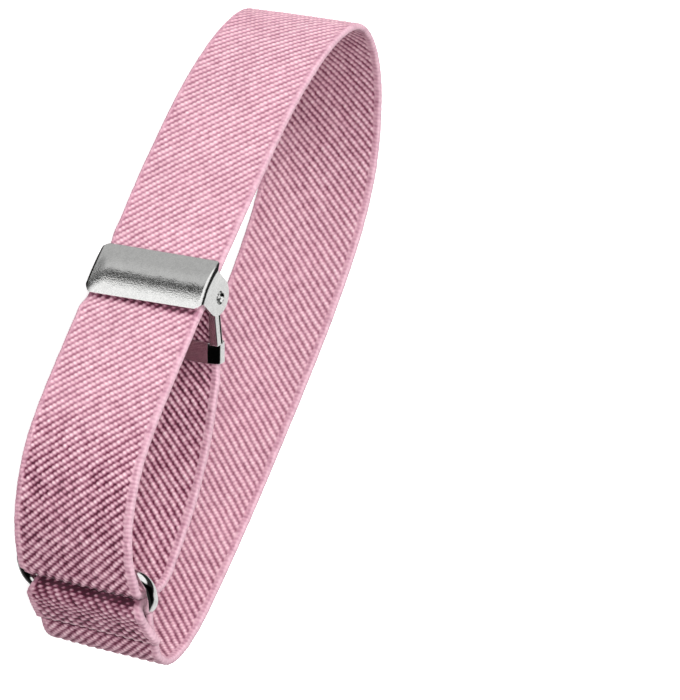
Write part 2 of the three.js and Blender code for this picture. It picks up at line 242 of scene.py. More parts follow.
class Nodes:
    """Short names for building a node material."""

    def __init__(self, name):
        self.mat = bpy.data.materials.new(name)
        self.mat.use_nodes = True
        self.tree = self.mat.node_tree
        self.shader = self.tree.nodes["Principled BSDF"]

    def set(self, **values):
        for key, value in values.items():
            socket = self.shader.inputs[key.replace("_", " ")]
            if isinstance(value, bpy.types.NodeSocket):
                self.tree.links.new(value, socket)
            else:
                socket.default_value = value

    def put(self, socket, value):
        if isinstance(value, bpy.types.NodeSocket):
            self.tree.links.new(value, socket)
        else:
            socket.default_value = value

    def m(self, op, a, b=0.0, c=None):
        n = self.tree.nodes.new("ShaderNodeMath")
        n.operation = op
        self.put(n.inputs[0], a)
        self.put(n.inputs[1], b)
        if c is not None:
            self.put(n.inputs[2], c)
        return n.outputs[0]

    def wave(self, *terms):
        """cos(2 pi (sum of value * factor))"""
        total = None
        for value, factor in terms:
            part = self.m("MULTIPLY", value, factor * 2 * math.pi)
            total = part if total is None else self.m("ADD", total, part)
        return self.m("COSINE", total)

    def range(self, value, a, b, c=0.0, d=1.0, kind="SMOOTHSTEP"):
        n = self.tree.nodes.new("ShaderNodeMapRange")
        n.interpolation_type = kind
        self.put(n.inputs["Value"], value)
        n.inputs["From Min"].default_value = a
        n.inputs["From Max"].default_value = b
        n.inputs["To Min"].default_value = c
        n.inputs["To Max"].default_value = d
        return n.outputs["Result"]

    def blend(self, factor, a, b):
        n = self.tree.nodes.new("ShaderNodeMix")
        n.data_type = "FLOAT"
        self.put(n.inputs[0], factor)
        self.put(n.inputs[2], a)
        self.put(n.inputs[3], b)
        return n.outputs[0]

    def tint(self, factor, a, b, kind="MIX"):
        n = self.tree.nodes.new("ShaderNodeMix")
        n.data_type = "RGBA"
        n.blend_type = kind
        self.put(n.inputs[0], factor)
        self.put(n.inputs[6], a)
        self.put(n.inputs[7], b)
        return n.outputs[2]

    def ramp(self, value, stops):
        n = self.tree.nodes.new("ShaderNodeValToRGB")
        e = n.color_ramp.elements
        while len(e) < len(stops):
            e.new(0.5)
        for element, (at, colour) in zip(e, stops):
            element.position = at
            element.color = (*colour, 1)
        self.put(n.inputs[0], value)
        return n.outputs["Color"]

    def noise(self, vector, scale, detail=2.0, rough=0.5):
        n = self.tree.nodes.new("ShaderNodeTexNoise")
        self.put(n.inputs["Vector"], vector)
        n.inputs["Scale"].default_value = scale
        n.inputs["Detail"].default_value = detail
        n.inputs["Roughness"].default_value = rough
        return n.outputs["Fac"]

    def vector(self, x, y, z=0.0):
        n = self.tree.nodes.new("ShaderNodeCombineXYZ")
        self.put(n.inputs[0], x)
        self.put(n.inputs[1], y)
        self.put(n.inputs[2], z)
        return n.outputs[0]

    def split(self, vector):
        n = self.tree.nodes.new("ShaderNodeSeparateXYZ")
        self.put(n.inputs[0], vector)
        return n.outputs[0], n.outputs[1], n.outputs[2]

    def coordinates(self):
        return self.tree.nodes.new("ShaderNodeTexCoord").outputs["Object"]

    def attribute(self, name):
        n = self.tree.nodes.new("ShaderNodeAttribute")
        n.attribute_name = name
        return n.outputs["Fac"]

    def uv(self, name):
        n = self.tree.nodes.new("ShaderNodeUVMap")
        n.uv_map = name
        return n.outputs[0]

    def bump(self, height, distance, strength=1.0, below=None):
        n = self.tree.nodes.new("ShaderNodeBump")
        self.put(n.inputs["Height"], height)
        n.inputs["Distance"].default_value = distance
        n.inputs["Strength"].default_value = strength
        if below is not None:
            self.put(n.inputs["Normal"], below)
        return n.outputs[0]


def srgb(r, g, b):
    return tuple(
        (c / 255 / 12.92 if c / 255 <= 0.04045 else ((c / 255 + 0.055) / 1.055) ** 2.4)
        for c in (r, g, b)
    )


# ------------------------------------------------------------------ elastic band
# The weave is a three-yarn twill: each yarn floats along the band, and its neighbour's
# float starts a third of a repeat later, so the floats line up in slanting ribs. The
# sewn tail is pulled out long, so its floats stand apart there as separate knots.
WAVES = {
    # along, across (cycles in one repeat), height
    "face": [(1, 1, 1.00), (2, -1, 0.42), (1, -2, 0.22)],
    "back": [(1, 1, 1.00), (2, -1, 0.36), (1, -2, 0.34)],
    "tail": [(1, 1, 0.80), (-2, 1, 1.00), (3, 0, 0.72)],
}
PILE = {"face": 0.23, "back": 0.17, "tail": 0.30}  # how far the floats stand up
TAIL_REPEAT, TAIL_END = 3.4, (9.8, 11.4)
CORE_HALF = 0.53


def cloud(u, v, size, seed, stretch=1.0):
    """Smooth random field in -1..1 with cells of that size, for one yarn's own height."""
    rng = np.random.default_rng(seed)
    table = rng.uniform(-1, 1, (256, 256))
    a, b = np.asarray(u) / (size * stretch) + 500, np.asarray(v) / size + 500
    i, j = np.floor(a).astype(int), np.floor(b).astype(int)
    f, g = a - i, b - j
    f, g = f * f * (3 - 2 * f), g * g * (3 - 2 * g)
    i, j = i % 255, j % 255
    return (
        table[i, j] * (1 - f) * (1 - g)
        + table[i + 1, j] * f * (1 - g)
        + table[i, j + 1] * (1 - f) * g
        + table[i + 1, j + 1] * f * g
    )


def weave_height(u, v, kind):
    """0 in a groove, 1 on a knot."""
    repeat = TAIL_REPEAT if kind == "tail" else WARP_REPEAT
    s = 0
    for along, across, height in WAVES[kind]:
        s = s + height * np.cos(
            2 * np.pi * (along * u / repeat + across * v / RIB_REPEAT)
        )
    top = sum(h for _, _, h in WAVES[kind])
    low = 1.0 + 0.3 * (top - 1.0)
    h = np.clip((s + low) / (top + low), 0, 1.2)
    return h ** (0.84 if kind != "tail" else 0.95)


def openness_and_shade(s, back):
    """Where the band is pulled round a bend its ribs stand open; the same share also darkens the gaps' colour
    there, as painted shade.
    """
    k = lambda a, b: smooth(at(a), at(b), s)
    if back:
        crown = k("back_shoulder", "crown_turn") * (1 - k("crown_tip", "crown_front"))
        inner = k("high_bar_leave", "inner_turn") * (0.85 + 0.75 * k("inner_bow", "window_in"))
        bottom = 1 - k("back_low_run", "back_run")
        return 0.06 + 0.38 * crown + 0.80 * inner + 0.30 * bottom
    ring_side = k("front_low_run", "front_near_ring") * (1 - k("high_bar_over", "inner_rise"))
    step = (1 - k("fold_end", "back_low_run")) * k("low_bar_leave", "past_step")
    front = 0.14 * k("cover_leave", "front_low_run") * (1 - k("front_curve", "high_bar_over"))
    return front + 1.0 * ring_side + 0.9 * step


def wander(u, v, seed):
    """Slow drift of the yarns, so the ribs aren't ruled lines."""
    out = 0.0
    for size, amount in ((24.0, 0.16), (9.0, 0.10), (3.6, 0.07), (1.3, 0.07)):
        out = out + amount * cloud(u, v, size, seed + int(size * 10))
    return out


STEP = 0.216
EDGE_V = np.array([0, 0.05, 0.14, 0.27, 0.45, 0.68])
MIDDLE_V = np.linspace(0.68, BAND_WIDTH - 0.68, 97)[1:-1]
ACROSS = np.concatenate([EDGE_V, MIDDLE_V, BAND_WIDTH - EDGE_V[::-1]])


def band():
    n = int(round(TOTAL / STEP))
    s = np.linspace(0, TOTAL, n + 1)
    x = np.interp(s, LENGTH, PTS[:, 0])
    y = np.interp(s, LENGTH, PTS[:, 1])
    low = np.interp(s, LENGTH, PTS[:, 2])
    high = np.interp(s, LENGTH, PTS[:, 3]) + 0.40
    corner = 0.35 * np.clip(1 - s / 0.6, 0, 1) ** 2  # the cut end's corners are a little round
    low, high = low + corner, high - corner
    dx, dy = np.gradient(x), np.gradient(y)
    k = np.hypot(dx, dy)
    side = np.stack([dy / k, -dx / k], -1)
    v = ACROSS
    d = np.minimum(v, BAND_WIDTH - v)
    roll = np.sqrt(np.clip(1 - (np.clip(0.45 - d, 0, None) / 0.45) ** 2, 0, 1))
    ends = np.sqrt(
        np.clip(1 - (np.clip(0.4 - np.minimum(s, TOTAL - s), 0, None) / 0.4) ** 2, 0.05, 1)
    )
    S, V = np.meshgrid(s, v, indexing="ij")
    tail = 1 - smooth(*TAIL_END, S)
    packed = (np.cumsum(0.95 * smooth(3.6, 5.8, s)) * STEP)[:, None]  # its knots close up at the ring
    sides, weave_shadings, warped = [], [], []
    for back in (False, True):
        u = S + wander(S, V, 11 + back)
        w = V + 0.4 * wander(S, V, 21 + back)
        kind = "back" if back else "face"
        knots = weave_height(u, w, kind)
        depth = PILE[kind] + 0 * S
        if back:
            knots = knots * (1 - tail) + weave_height(u + packed, w, "tail") * tail
            depth = depth * (1 - tail) + PILE["tail"] * tail
        loose_and_shade = openness_and_shade(S, back) * (1 - tail) + 1.0 * tail
        own = cloud(u, w, 0.62, 51 + back, 1.6)  # each float is a little different
        patch = cloud(S, V, 5.0, 61 + back)
        knots = np.clip(knots * (1 + 0.04 * patch) + (0.13 + 0.07 * np.clip(loose_and_shade, 0, 1)) * own, 0, 1.25)
        depth = depth * (1 + 0.45 * loose_and_shade)
        ragged = 0.22 * cloud(S, V, 0.9, 71 + back) + 0.15 * cloud(S, V, 2.8, 73 + back)
        selvedge = (0.90 if back else 0.62) + (0.20 if back else 0.50) * np.clip(loose_and_shade, 0, 1)
        inside = smooth(0.0, 0.5, d[None] + ragged - selvedge)
        stitch = (
            0.60
            + (0.13 + 0.07 * loose_and_shade) * np.cos(2 * np.pi * (u / SELVEDGE_PITCH + 0.12 * V))
            + 0.20 * own
            + 0.16 * cloud(u, V, 0.5, 81 + back)
        )
        h = knots * inside + stitch * (1 - inside)
        # the grooves are coloured darker, more where the ribs stand open: painted shade in the grooves
        weave_shading = h - (0.06 + 0.46 * loose_and_shade) * np.clip(1 - h, 0, 1) * inside
        fold = at("low_bar_over")
        if back:  # the crease between the two bars, where no light gets in
            weave_shading = weave_shading - 0.75 * smooth(fold - 1.6, fold - 0.4, S) * (1 - smooth(fold + 4, fold + 8, S))
            hem_highlight = smooth(0.75, 0.30, S)  # the tail's cut edge is a plain hem, with a painted highlight where it catches the light
            weave_shading = weave_shading * (1 - hem_highlight) + 0.95 * hem_highlight
        else:
            weave_shading = weave_shading - 0.9 * np.exp(-(((S - at("past_step") - 0.1) / 0.6) ** 2))  # painted shadow under the tail's end
            weave_shading = weave_shading - 0.7 * np.exp(-(((S - at("cover_leave") + 3.3) / 0.6) ** 2))  # in the cover's shade
            under_tail_shade = (1 - smooth(5.5, 7.0, S)) + smooth(at("low_bar_leave"), at("low_bar_leave") + 1.2, S) * (
                1 - smooth(at("past_step") - 1.7, at("past_step") - 1.0, S)
            )
            weave_shading = weave_shading - 1.2 * under_tail_shade * inside  # painted shade in the narrow space under the tail
            # painted shade where the band turns in round the ring's upper bar
            turn_in = at("high_bar_over")
            weave_shading = weave_shading - 0.6 * smooth(turn_in - 0.7, turn_in + 0.3, S) * (1 - smooth(turn_in + 4, turn_in + 7, S))
        half = (CORE_HALF + depth * h) * roll[None] * ends[:, None]
        sides.append(half)
        weave_shadings.append(weave_shading)
        warped.append((u, w))
    bow = 0.10 * np.sin(np.pi * v / BAND_WIDTH)[None]  # the band cups very slightly
    edge = 0.06 * cloud(s, 0 * s, 4.0, 41) + 0.03 * cloud(s, 0 * s, 0.8, 42)
    z = low[:, None] + (high - low)[:, None] * V / BAND_WIDTH
    z = z + np.abs(edge)[:, None] * smooth(1.6, 0.2, d)[None]

    def skin(half, sign):
        off = sign * half + bow
        return np.stack(
            [x[:, None] + side[:, 0:1] * off, y[:, None] + side[:, 1:2] * off, z], -1
        )

    m = len(v)

    def around(face, rear, close):
        parts = [face, rear[:, m - 2 : 0 : -1]] + ([face[:, :1]] if close else [])
        return np.concatenate(parts, 1)

    rings = around(skin(sides[0], 1.0), skin(sides[1], -1.0), False)
    # colour level for the shader: the weave's height with painted shade and a painted highlight
    weave_shading_level = around(weave_shadings[0], weave_shadings[1], False)
    lap = np.concatenate([v, 2 * BAND_WIDTH - v[m - 2 : 0 : -1], [2 * BAND_WIDTH]])
    uv = np.stack([around(warped[0][0], warped[1][0], True), lap[None] + 0 * s[:, None]], -1)
    along = np.gradient(rings, axis=0)
    across = np.roll(rings, -1, 1) - np.roll(rings, 1, 1)
    normals = np.cross(across, along)
    normals /= np.linalg.norm(normals, axis=-1, keepdims=True) + 1e-12
    out = (rings - rings.mean(1, keepdims=True)) * [1, 1, 0]
    if (normals[:, 40] * out[:, 40]).sum() < 0:
        normals = -normals
    return place(rings), uv, turn(normals), weave_shading_level, s


def elastic_material():
    n = Nodes("elastic_weave")
    u, around, _ = n.split(n.uv("weave"))
    v = n.m("SUBTRACT", BAND_WIDTH, n.m("ABSOLUTE", n.m("SUBTRACT", BAND_WIDTH, around)))
    edge = n.m("MINIMUM", v, n.m("SUBTRACT", BAND_WIDTH, v))
    inside = n.range(edge, 0.80, 1.50)
    # the weave's height, with painted shade in grooves and creases and a painted highlight on the tail's hem
    h = n.attribute("weave_shading_level")
    cloudy = n.noise(n.vector(u, around, 3.1), 0.10, 2.0)
    fibre = n.noise(
        n.vector(n.m("MULTIPLY", u, 2.0), n.m("MULTIPLY", around, 7.0), 7.7), 1.0, 3.0, 0.6
    )
    speck = n.noise(n.vector(u, around, 9.9), 1.3, 2.0, 0.6)
    level = n.m("ADD", h, n.m("MULTIPLY", n.m("SUBTRACT", speck, 0.5), 0.38))
    level = n.m("ADD", level, n.m("MULTIPLY", n.m("SUBTRACT", fibre, 0.5), 0.20))
    level = n.m("DIVIDE", n.m("ADD", level, 0.5), 1.6)
    # the dark end of this ramp is painted shade in grooves, creases and under the tail
    field = n.ramp(
        level,
        [
            (0.00, srgb(62, 12, 32)),
            (0.14, srgb(104, 40, 64)),
            (0.30, srgb(147, 94, 112)),
            (0.46, srgb(181, 131, 147)),
            (0.66, srgb(216, 170, 184)),
            (0.84, srgb(235, 197, 206)),
            (0.94, srgb(245, 217, 223)),
        ],
    )
    plain = n.ramp(
        level, [(0.42, srgb(162, 110, 129)), (0.66, srgb(199, 151, 167)), (0.92, srgb(222, 180, 193))]
    )
    colour = n.tint(inside, plain, field)
    colour = n.tint(n.range(edge, 0.05, 0.60, 0.50, 0.0), colour, (*srgb(196, 168, 177), 1))
    colour = n.tint(n.range(cloudy, 0.42, 0.66, 0.0, 0.08), colour, (*srgb(240, 176, 202), 1))
    colour = n.tint(n.range(cloudy, 0.56, 0.36, 0.0, 0.05), colour, (*srgb(204, 150, 178), 1))
    n.set(
        Base_Color=colour,
        Roughness=n.range(h, 0.0, 1.0, 0.92, 0.70, "LINEAR"),
        Normal=n.bump(fibre, 0.00008, 0.5),
        Sheen_Weight=0.12,
        Sheen_Roughness=0.5,
        Sheen_Tint=(1.0, 0.90, 0.94, 1),
        Specular_IOR_Level=0.30,
    )
    return n.mat


ELASTIC = elastic_material()
PIECES = [
    # name                     ends at this length, as a share of the band
    ("band_tail_and_back", 0.215),
    ("band_back", 0.43),
    ("band_crown_and_front", 0.655),
    ("band_front_to_ring", 0.828),
    ("band_inner_run", 1.0),
]
rings, uv, normals, weave_shading_level, stations = band()
cut = [0] + [int(round(share * (len(stations) - 1))) for _, share in PIECES]
for (name, _), a, b in zip(PIECES, cut, cut[1:]):
    rows = slice(a, b + 1)
    piece = grid_mesh(name, rings[rows], uv[rows], normals[rows], weave_shading_level[rows])
    piece.data.materials.append(ELASTIC)
    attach(piece, "root")
    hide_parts("elastic_band")


# ------------------------------------------------------------------ metals
def metal(name, base, rough, grain, scratch, freckle=0.0, orange_peel=0.000004, blotch=False):
    n = Nodes(name)
    at = n.coordinates()
    coarse = n.noise(at, 900.0, 3.0, 0.6)
    fine = n.noise(at, 3600.0, 2.0, 0.6)
    x, y, z = n.split(at)
    lines = n.noise(n.vector(n.m("MULTIPLY", x, 9000), n.m("MULTIPLY", y, 9000), n.m("MULTIPLY", z, 700)), 1.0, 3.0, 0.6)
    r = n.m("ADD", rough, n.m("MULTIPLY", n.m("SUBTRACT", coarse, 0.5), grain))
    r = n.m("ADD", r, n.m("MULTIPLY", n.m("SUBTRACT", lines, 0.5), scratch))
    colour = n.ramp(
        n.m("ADD", n.m("MULTIPLY", fine, 0.5), n.m("MULTIPLY", coarse, 0.5)),
        [(0.25, tuple(c * (0.86 - freckle) for c in base)), (0.62, base)],
    )
    height = n.m("ADD", n.m("MULTIPLY", fine, 0.94), n.m("MULTIPLY", lines, 0.06))
    if blotch:  # the finish is grainier along the crown of the bulge
        zone = n.m("ADD", x, n.m("MULTIPLY", n.m("SUBTRACT", n.noise(at, 420.0, 2.0), 0.5), 0.004))
        rough_zone = n.m(
            "MULTIPLY", n.range(zone, 0.0022, 0.0040, 0.16, 1.0), n.range(zone, 0.0062, 0.0084, 1.0, 0.22)
        )
        height = n.m("MULTIPLY", height, rough_zone)
    n.set(
        Base_Color=colour,
        Metallic=1.0,
        Roughness=n.m("MAXIMUM", r, 0.04),
        Normal=n.bump(height, orange_peel, 1.0),
    )
    return n.mat


SATIN = metal("satin_nickel", (0.93, 0.93, 0.915), 0.13, 0.07, 0.03, 0.06, 0.000042, True)
POLISHED = metal("polished_nickel", (0.90, 0.895, 0.885), 0.06, 0.04, 0.03, 0.04, 0.000006)


def finish_metal(ob, node, material, bevel=0.0):
    ob.data.materials.clear()
    ob.data.materials.append(material)
    if bevel:
        b = ob.modifiers.new("edges", "BEVEL")
        b.width = bevel
        b.segments = 3
        b.limit_method = "ANGLE"
        b.angle_limit = math.radians(38)
        b.harden_normals = False
        w = ob.modifiers.new("normals", "WEIGHTED_NORMAL")
        w.keep_sharp = False
    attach(ob, "root")
    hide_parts(node)
    return ob


# cover plate: one bent sheet, drawn as rows of an unfolded blank
SHEET, BEND = 0.6, 1.0
EAR_LOW, EAR_HIGH = -0.1, 26.0
COVER_EDGE_Y, COVER_RISE = -24.05, 1.1
OUTLINE_LEFT = [(-0.3, -1.93), (1.58, -3.10), (25.1, -3.50), (26.2, -2.70)]
OUTLINE_RIGHT = [(-0.3, 5.20), (1.30, 7.35), (24.6, 6.85), (26.2, 5.70)]
EAR = {"x": 2.0, "y": -20.4, "radius": 3.6}
PIVOT = (1.8, -19.9)


def cover_skin_y(x, z=12.0):
    """The plate bulges between its two long edges, and is nearly flat at its low end."""
    t = (x + 3.3) / 10.4
    rise = COVER_RISE * (0.28 + 0.72 * smooth(-0.5, 4.5, np.asarray(z, float)))
    return COVER_EDGE_Y - 0.2 * t - rise * 4 * t * (1 - t)


def cover():
    columns = 60
    phi = np.linspace(0, np.pi, columns + 1)
    share = (1 - np.cos(phi)) / 2
    share = 0.55 * share + 0.45 * np.linspace(0, 1, columns + 1)
    ear_x = EAR["x"] + EAR["radius"] * (2 * share - 1)
    tip = EAR["y"] + np.sqrt(
        np.clip(EAR["radius"] ** 2 - (ear_x - EAR["x"]) ** 2, 0, None)
    )
    limit = lambda table, z: np.interp(z, [a for a, _ in table], [b for _, b in table])
    rows = []

    def dent(x, y):
        """A pressed well round the pin's end, deepest on the side away from the plate."""
        r = np.hypot(x - PIVOT[0], y - PIVOT[1] - 0.15)
        well = smooth(1.28, 0.98, r)
        head = smooth(0.62, 0.40, np.hypot(x - PIVOT[0] + 0.12, y - PIVOT[1] + 0.05))
        return 0.62 * well - 0.40 * head

    def ear(high, t):
        x = ear_x
        root = cover_skin_y(x, EAR_HIGH if high else EAR_LOW) + BEND
        y = root + (tip - root) * t
        z = EAR_HIGH if high else EAR_LOW
        way = 1 if high else -1
        push = dent(x, y)
        outer = np.stack([x, y, z - way * push + 0 * x], -1)
        inner = np.stack([x, y, z - way * (SHEET + 0.35 * push) + 0 * x], -1)
        rows.append((outer, inner))

    def bend(high, a):
        edge = EAR_HIGH if high else EAR_LOW
        way = 1 if high else -1
        zo = edge - way * BEND * (1 - math.sin(a))
        mix = float(smooth(0.55, 1.45, np.array(a)))
        left = limit(OUTLINE_LEFT, zo) * (1 - mix) + ear_x[0] * mix
        right = limit(OUTLINE_RIGHT, zo) * (1 - mix) + ear_x[-1] * mix
        x = left + (right - left) * share
        y = cover_skin_y(x, zo) + BEND
        for_r = lambda r: np.stack(
            [
                x,
                y - r * math.cos(a),
                edge - way * BEND + way * r * math.sin(a) + 0 * x,
            ],
            -1,
        )
        rows.append((for_r(BEND), for_r(BEND - SHEET)))

    for t in np.linspace(1, 0.001, 44):
        ear(False, t)
    for a in np.linspace(np.pi / 2, 0, 12):
        bend(False, a)
    for z in np.linspace(EAR_LOW + BEND, EAR_HIGH - BEND, 92)[1:-1]:
        left, right = limit(OUTLINE_LEFT, z), limit(OUTLINE_RIGHT, z)
        x = left + (right - left) * share
        y = cover_skin_y(x, z)
        rows.append(
            (
                np.stack([x, y, z + 0 * x], -1),
                np.stack([x, y + SHEET, z + 0 * x], -1),
            )
        )
    for a in np.linspace(0, np.pi / 2, 12):
        bend(True, a)
    for t in np.linspace(0.001, 1, 44):
        ear(True, t)
    rings = np.stack([np.concatenate([o, i[::-1]]) for o, i in rows])
    return grid_mesh("cover_plate_sheet", place(rings))


plate = cover()
finish_metal(plate, "cover_plate", SATIN, 0.00017)


# ring: one closed round wire
BAR_HIGH, BAR_LOW = (53.75, -8.20), (57.83, -0.82)
WIRE, RING_LOW, RING_HIGH, RING_CORNER = 2.2, -2.1, 28.4, 3.2
RING_CORNER_TAIL = 4.1


def ring():
    mid = np.array([(BAR_HIGH[0] + BAR_LOW[0]) / 2, (BAR_HIGH[1] + BAR_LOW[1]) / 2])
    across = np.array([BAR_LOW[0] - BAR_HIGH[0], BAR_LOW[1] - BAR_HIGH[1]])
    span = np.linalg.norm(across)
    e = across / span
    n = np.array([e[1], -e[0]])
    w = WIRE / 2
    line = []
    for way, start in ((-1, 180), (1, 270), (1, 0), (-1, 90)):
        r = RING_CORNER if way < 0 else RING_CORNER_TAIL
        cu = way * (span / 2 - r)
        low = start in (180, 270)
        cz = RING_LOW + w + r if low else RING_HIGH - w - r
        for a in np.radians(np.linspace(start, start + 90, 25)):
            line.append((cu + r * math.cos(a), cz + r * math.sin(a), a))
        nxt = line[-1]
        if start in (270, 90):  # the two long bars
            to = RING_HIGH - w - r if start == 270 else RING_LOW + w + r
            for t in np.linspace(0, 1, 30)[1:-1]:
                line.append((nxt[0], nxt[1] + (to - nxt[1]) * t, nxt[2]))
    rings = []
    for u, z, a in line:
        b = np.linspace(0, 2 * np.pi, 36, endpoint=False)
        q = u + w * np.cos(b) * math.cos(a)
        zz = z + w * np.cos(b) * math.sin(a)
        rings.append(
            np.stack(
                [
                    mid[0] + e[0] * q + n[0] * w * np.sin(b),
                    mid[1] + e[1] * q + n[1] * w * np.sin(b),
                    zz,
                ],
                -1,
            )
        )
    rings = np.stack(rings + [rings[0]])
    ob = grid_mesh("slide_ring_wire", place(rings), cap=False)
    bm = bmesh.new()
    bm.from_mesh(ob.data)
    bmesh.ops.remove_doubles(bm, verts=bm.verts, dist=1e-7)
    bm.to_mesh(ob.data)
    bm.free()
    return ob


wire = ring()
finish_metal(wire, "slide_ring", POLISHED)


# frame: two arms bent to an angle, which carry the sleeve that grips the band's end
FRAME_TURN = math.radians(44)
SLEEVE = {"from": 9.15, "to": 13.3, "sheet": 0.42, "ease": 0.16}
SLEEVE_OUTLINE = [
    # z      n (through)
    (-0.70, 0.55),
    (-0.70, -0.35),
    (-0.30, -0.75),
    (23.35, -0.75),
    (25.45, 0.12),
    (25.70, 0.55),
    (25.70, 2.00),
    (25.30, 2.40),
    (-0.30, 2.40),
    (-0.70, 2.00),
]
ARMS = [
    # name    outer   strip inner   at the sleeve   way
    ("low", 0.80, 2.60, -1.35, -1),
    ("high", 25.10, 23.75, 0.55, 1),
]
KNEE = 3.0


def frame_place(p):
    """Along, through and z of the frame to the row frame."""
    p = np.asarray(p, float)
    c, k = math.cos(FRAME_TURN), math.sin(FRAME_TURN)
    return place(
        np.stack(
            [
                PIVOT[0] + p[..., 0] * c - p[..., 1] * k,
                PIVOT[1] + p[..., 0] * k + p[..., 1] * c,
                p[..., 2],
            ],
            -1,
        )
    )


def eased(points, ease, steps=4):
    """A closed outline with each corner rounded off."""
    out = []
    points = [np.array(p, float) for p in points]
    for before, here, after in zip(points[-1:] + points[:-1], points, points[1:] + points[:1]):
        a, b = before - here, after - here
        la, lb = np.linalg.norm(a), np.linalg.norm(b)
        e = min(ease, 0.45 * la, 0.45 * lb)
        p, q = here + a / la * e, here + b / lb * e
        for t in np.linspace(0, 1, steps):
            out.append((1 - t) ** 2 * p + 2 * t * (1 - t) * here + t * t * q)
    return np.array(out)


def weld(ob):
    bm = bmesh.new()
    bm.from_mesh(ob.data)
    bmesh.ops.remove_doubles(bm, verts=bm.verts, dist=1e-7)
    bmesh.ops.recalc_face_normals(bm, faces=bm.faces)
    bm.to_mesh(ob.data)
    bm.free()
    return ob


def sleeve():
    outer = eased(SLEEVE_OUTLINE, 0.30, 6)
    along = np.roll(outer, -1, 0) - np.roll(outer, 1, 0)
    along /= np.linalg.norm(along, axis=1, keepdims=True)
    normal = np.stack([along[:, 1], -along[:, 0]], -1)
    centre = outer.mean(0)
    if ((outer - centre) * normal).sum() < 0:
        normal = -normal
    sheet, e = SLEEVE["sheet"], SLEEVE["ease"]
    corner = eased(
        [(SLEEVE["from"], 0), (SLEEVE["to"], 0), (SLEEVE["to"], sheet), (SLEEVE["from"], sheet)], e, 5
    )
    rings = []
    for p, n in zip(outer, normal):
        q = p[None] - n[None] * corner[:, 1:2]
        rings.append(np.stack([corner[:, 0], q[:, 1], q[:, 0]], -1))
    rings = np.stack(rings + [rings[0]])
    return weld(grid_mesh("frame_sleeve", frame_place(rings), cap=False))


def arm(name, outer, strip, spread, way):
    """An angle section: a narrow face strip, a flange, and a small lip on the flange's far edge."""
    t = 0.45
    rings = []
    for s in np.concatenate([np.linspace(-0.2, KNEE, 12), np.linspace(KNEE, 9.5, 30)[1:]]):
        go = max(0.0, (s - KNEE) / (9.15 - KNEE))
        z = outer + spread * go
        inner = strip + spread * 0.35 * go
        lug = 1.45 * math.sqrt(max(0.0, 1 - max(0.0, (1.2 - s) / 1.5) ** 2)) if s < 1.2 else 1.45
        deep = 0.72 + max(0.0, lug - 0.72) * (1 - float(smooth(1.0, 2.4, np.array(s))))
        section = [
            (-0.55, inner),
            (-0.55, z),
            (deep, z),
            (deep + 0.30, z + way * 0.22),
            (deep + 0.42, z + way * 0.05),
            (deep + 0.30, z - way * t),
            (-0.55 + t, z - way * t),
            (-0.55 + t, inner),
        ]
        loop = eased(section, 0.14, 4)
        rings.append(np.stack([0 * loop[:, 0] + s, loop[:, 0], loop[:, 1]], -1))
    return weld(grid_mesh(f"frame_arm_{name}", frame_place(np.stack(rings))))


def lug(name, outer, way):
    """The round end of an arm, drilled for the pin."""
    b = np.linspace(0, 2 * np.pi, 49)
    section = eased([(1.0, 0.0), (1.5, 0.0), (1.5, 0.45), (1.0, 0.45)], 0.10, 4)
    rings = np.stack(
        [
            np.stack(
                [
                    section[:, 0] * math.cos(a),
                    section[:, 0] * math.sin(a),
                    outer - way * section[:, 1],
                ],
                -1,
            )
            for a in b
        ]
    )
    return weld(grid_mesh(f"frame_lug_{name}", frame_place(rings), cap=False))


finish_metal(sleeve(), "back_frame", POLISHED)
for arm_name, outer, strip, spread, way in ARMS:
    finish_metal(arm(arm_name, outer, strip, spread, way), "back_frame", POLISHED)
    finish_metal(lug(arm_name, outer, way), "back_frame", POLISHED)


# pin: turned rod with eased ends
def pin():
    r, z0, z1 = 0.7, 0.8, 25.1
    profile = [(0.02, z0), (r - 0.16, z0), (r - 0.05, z0 + 0.05), (r, z0 + 0.16)]
    profile += [(r, z) for z in np.linspace(z0 + 0.4, z1 - 0.4, 12)]
    profile += [(r, z1 - 0.16), (r - 0.05, z1 - 0.05), (r - 0.16, z1), (0.02, z1)]
    b = np.linspace(0, 2 * np.pi, 32, endpoint=False)
    rings = np.stack(
        [
            np.stack(
                [PIVOT[0] + q * np.cos(b), PIVOT[1] + q * np.sin(b), z + 0 * b], -1
            )
            for q, z in profile
        ]
    )
    return grid_mesh("pivot_pin_rod", place(rings))


rod = pin()
finish_metal(rod, "pivot_pin", POLISHED)


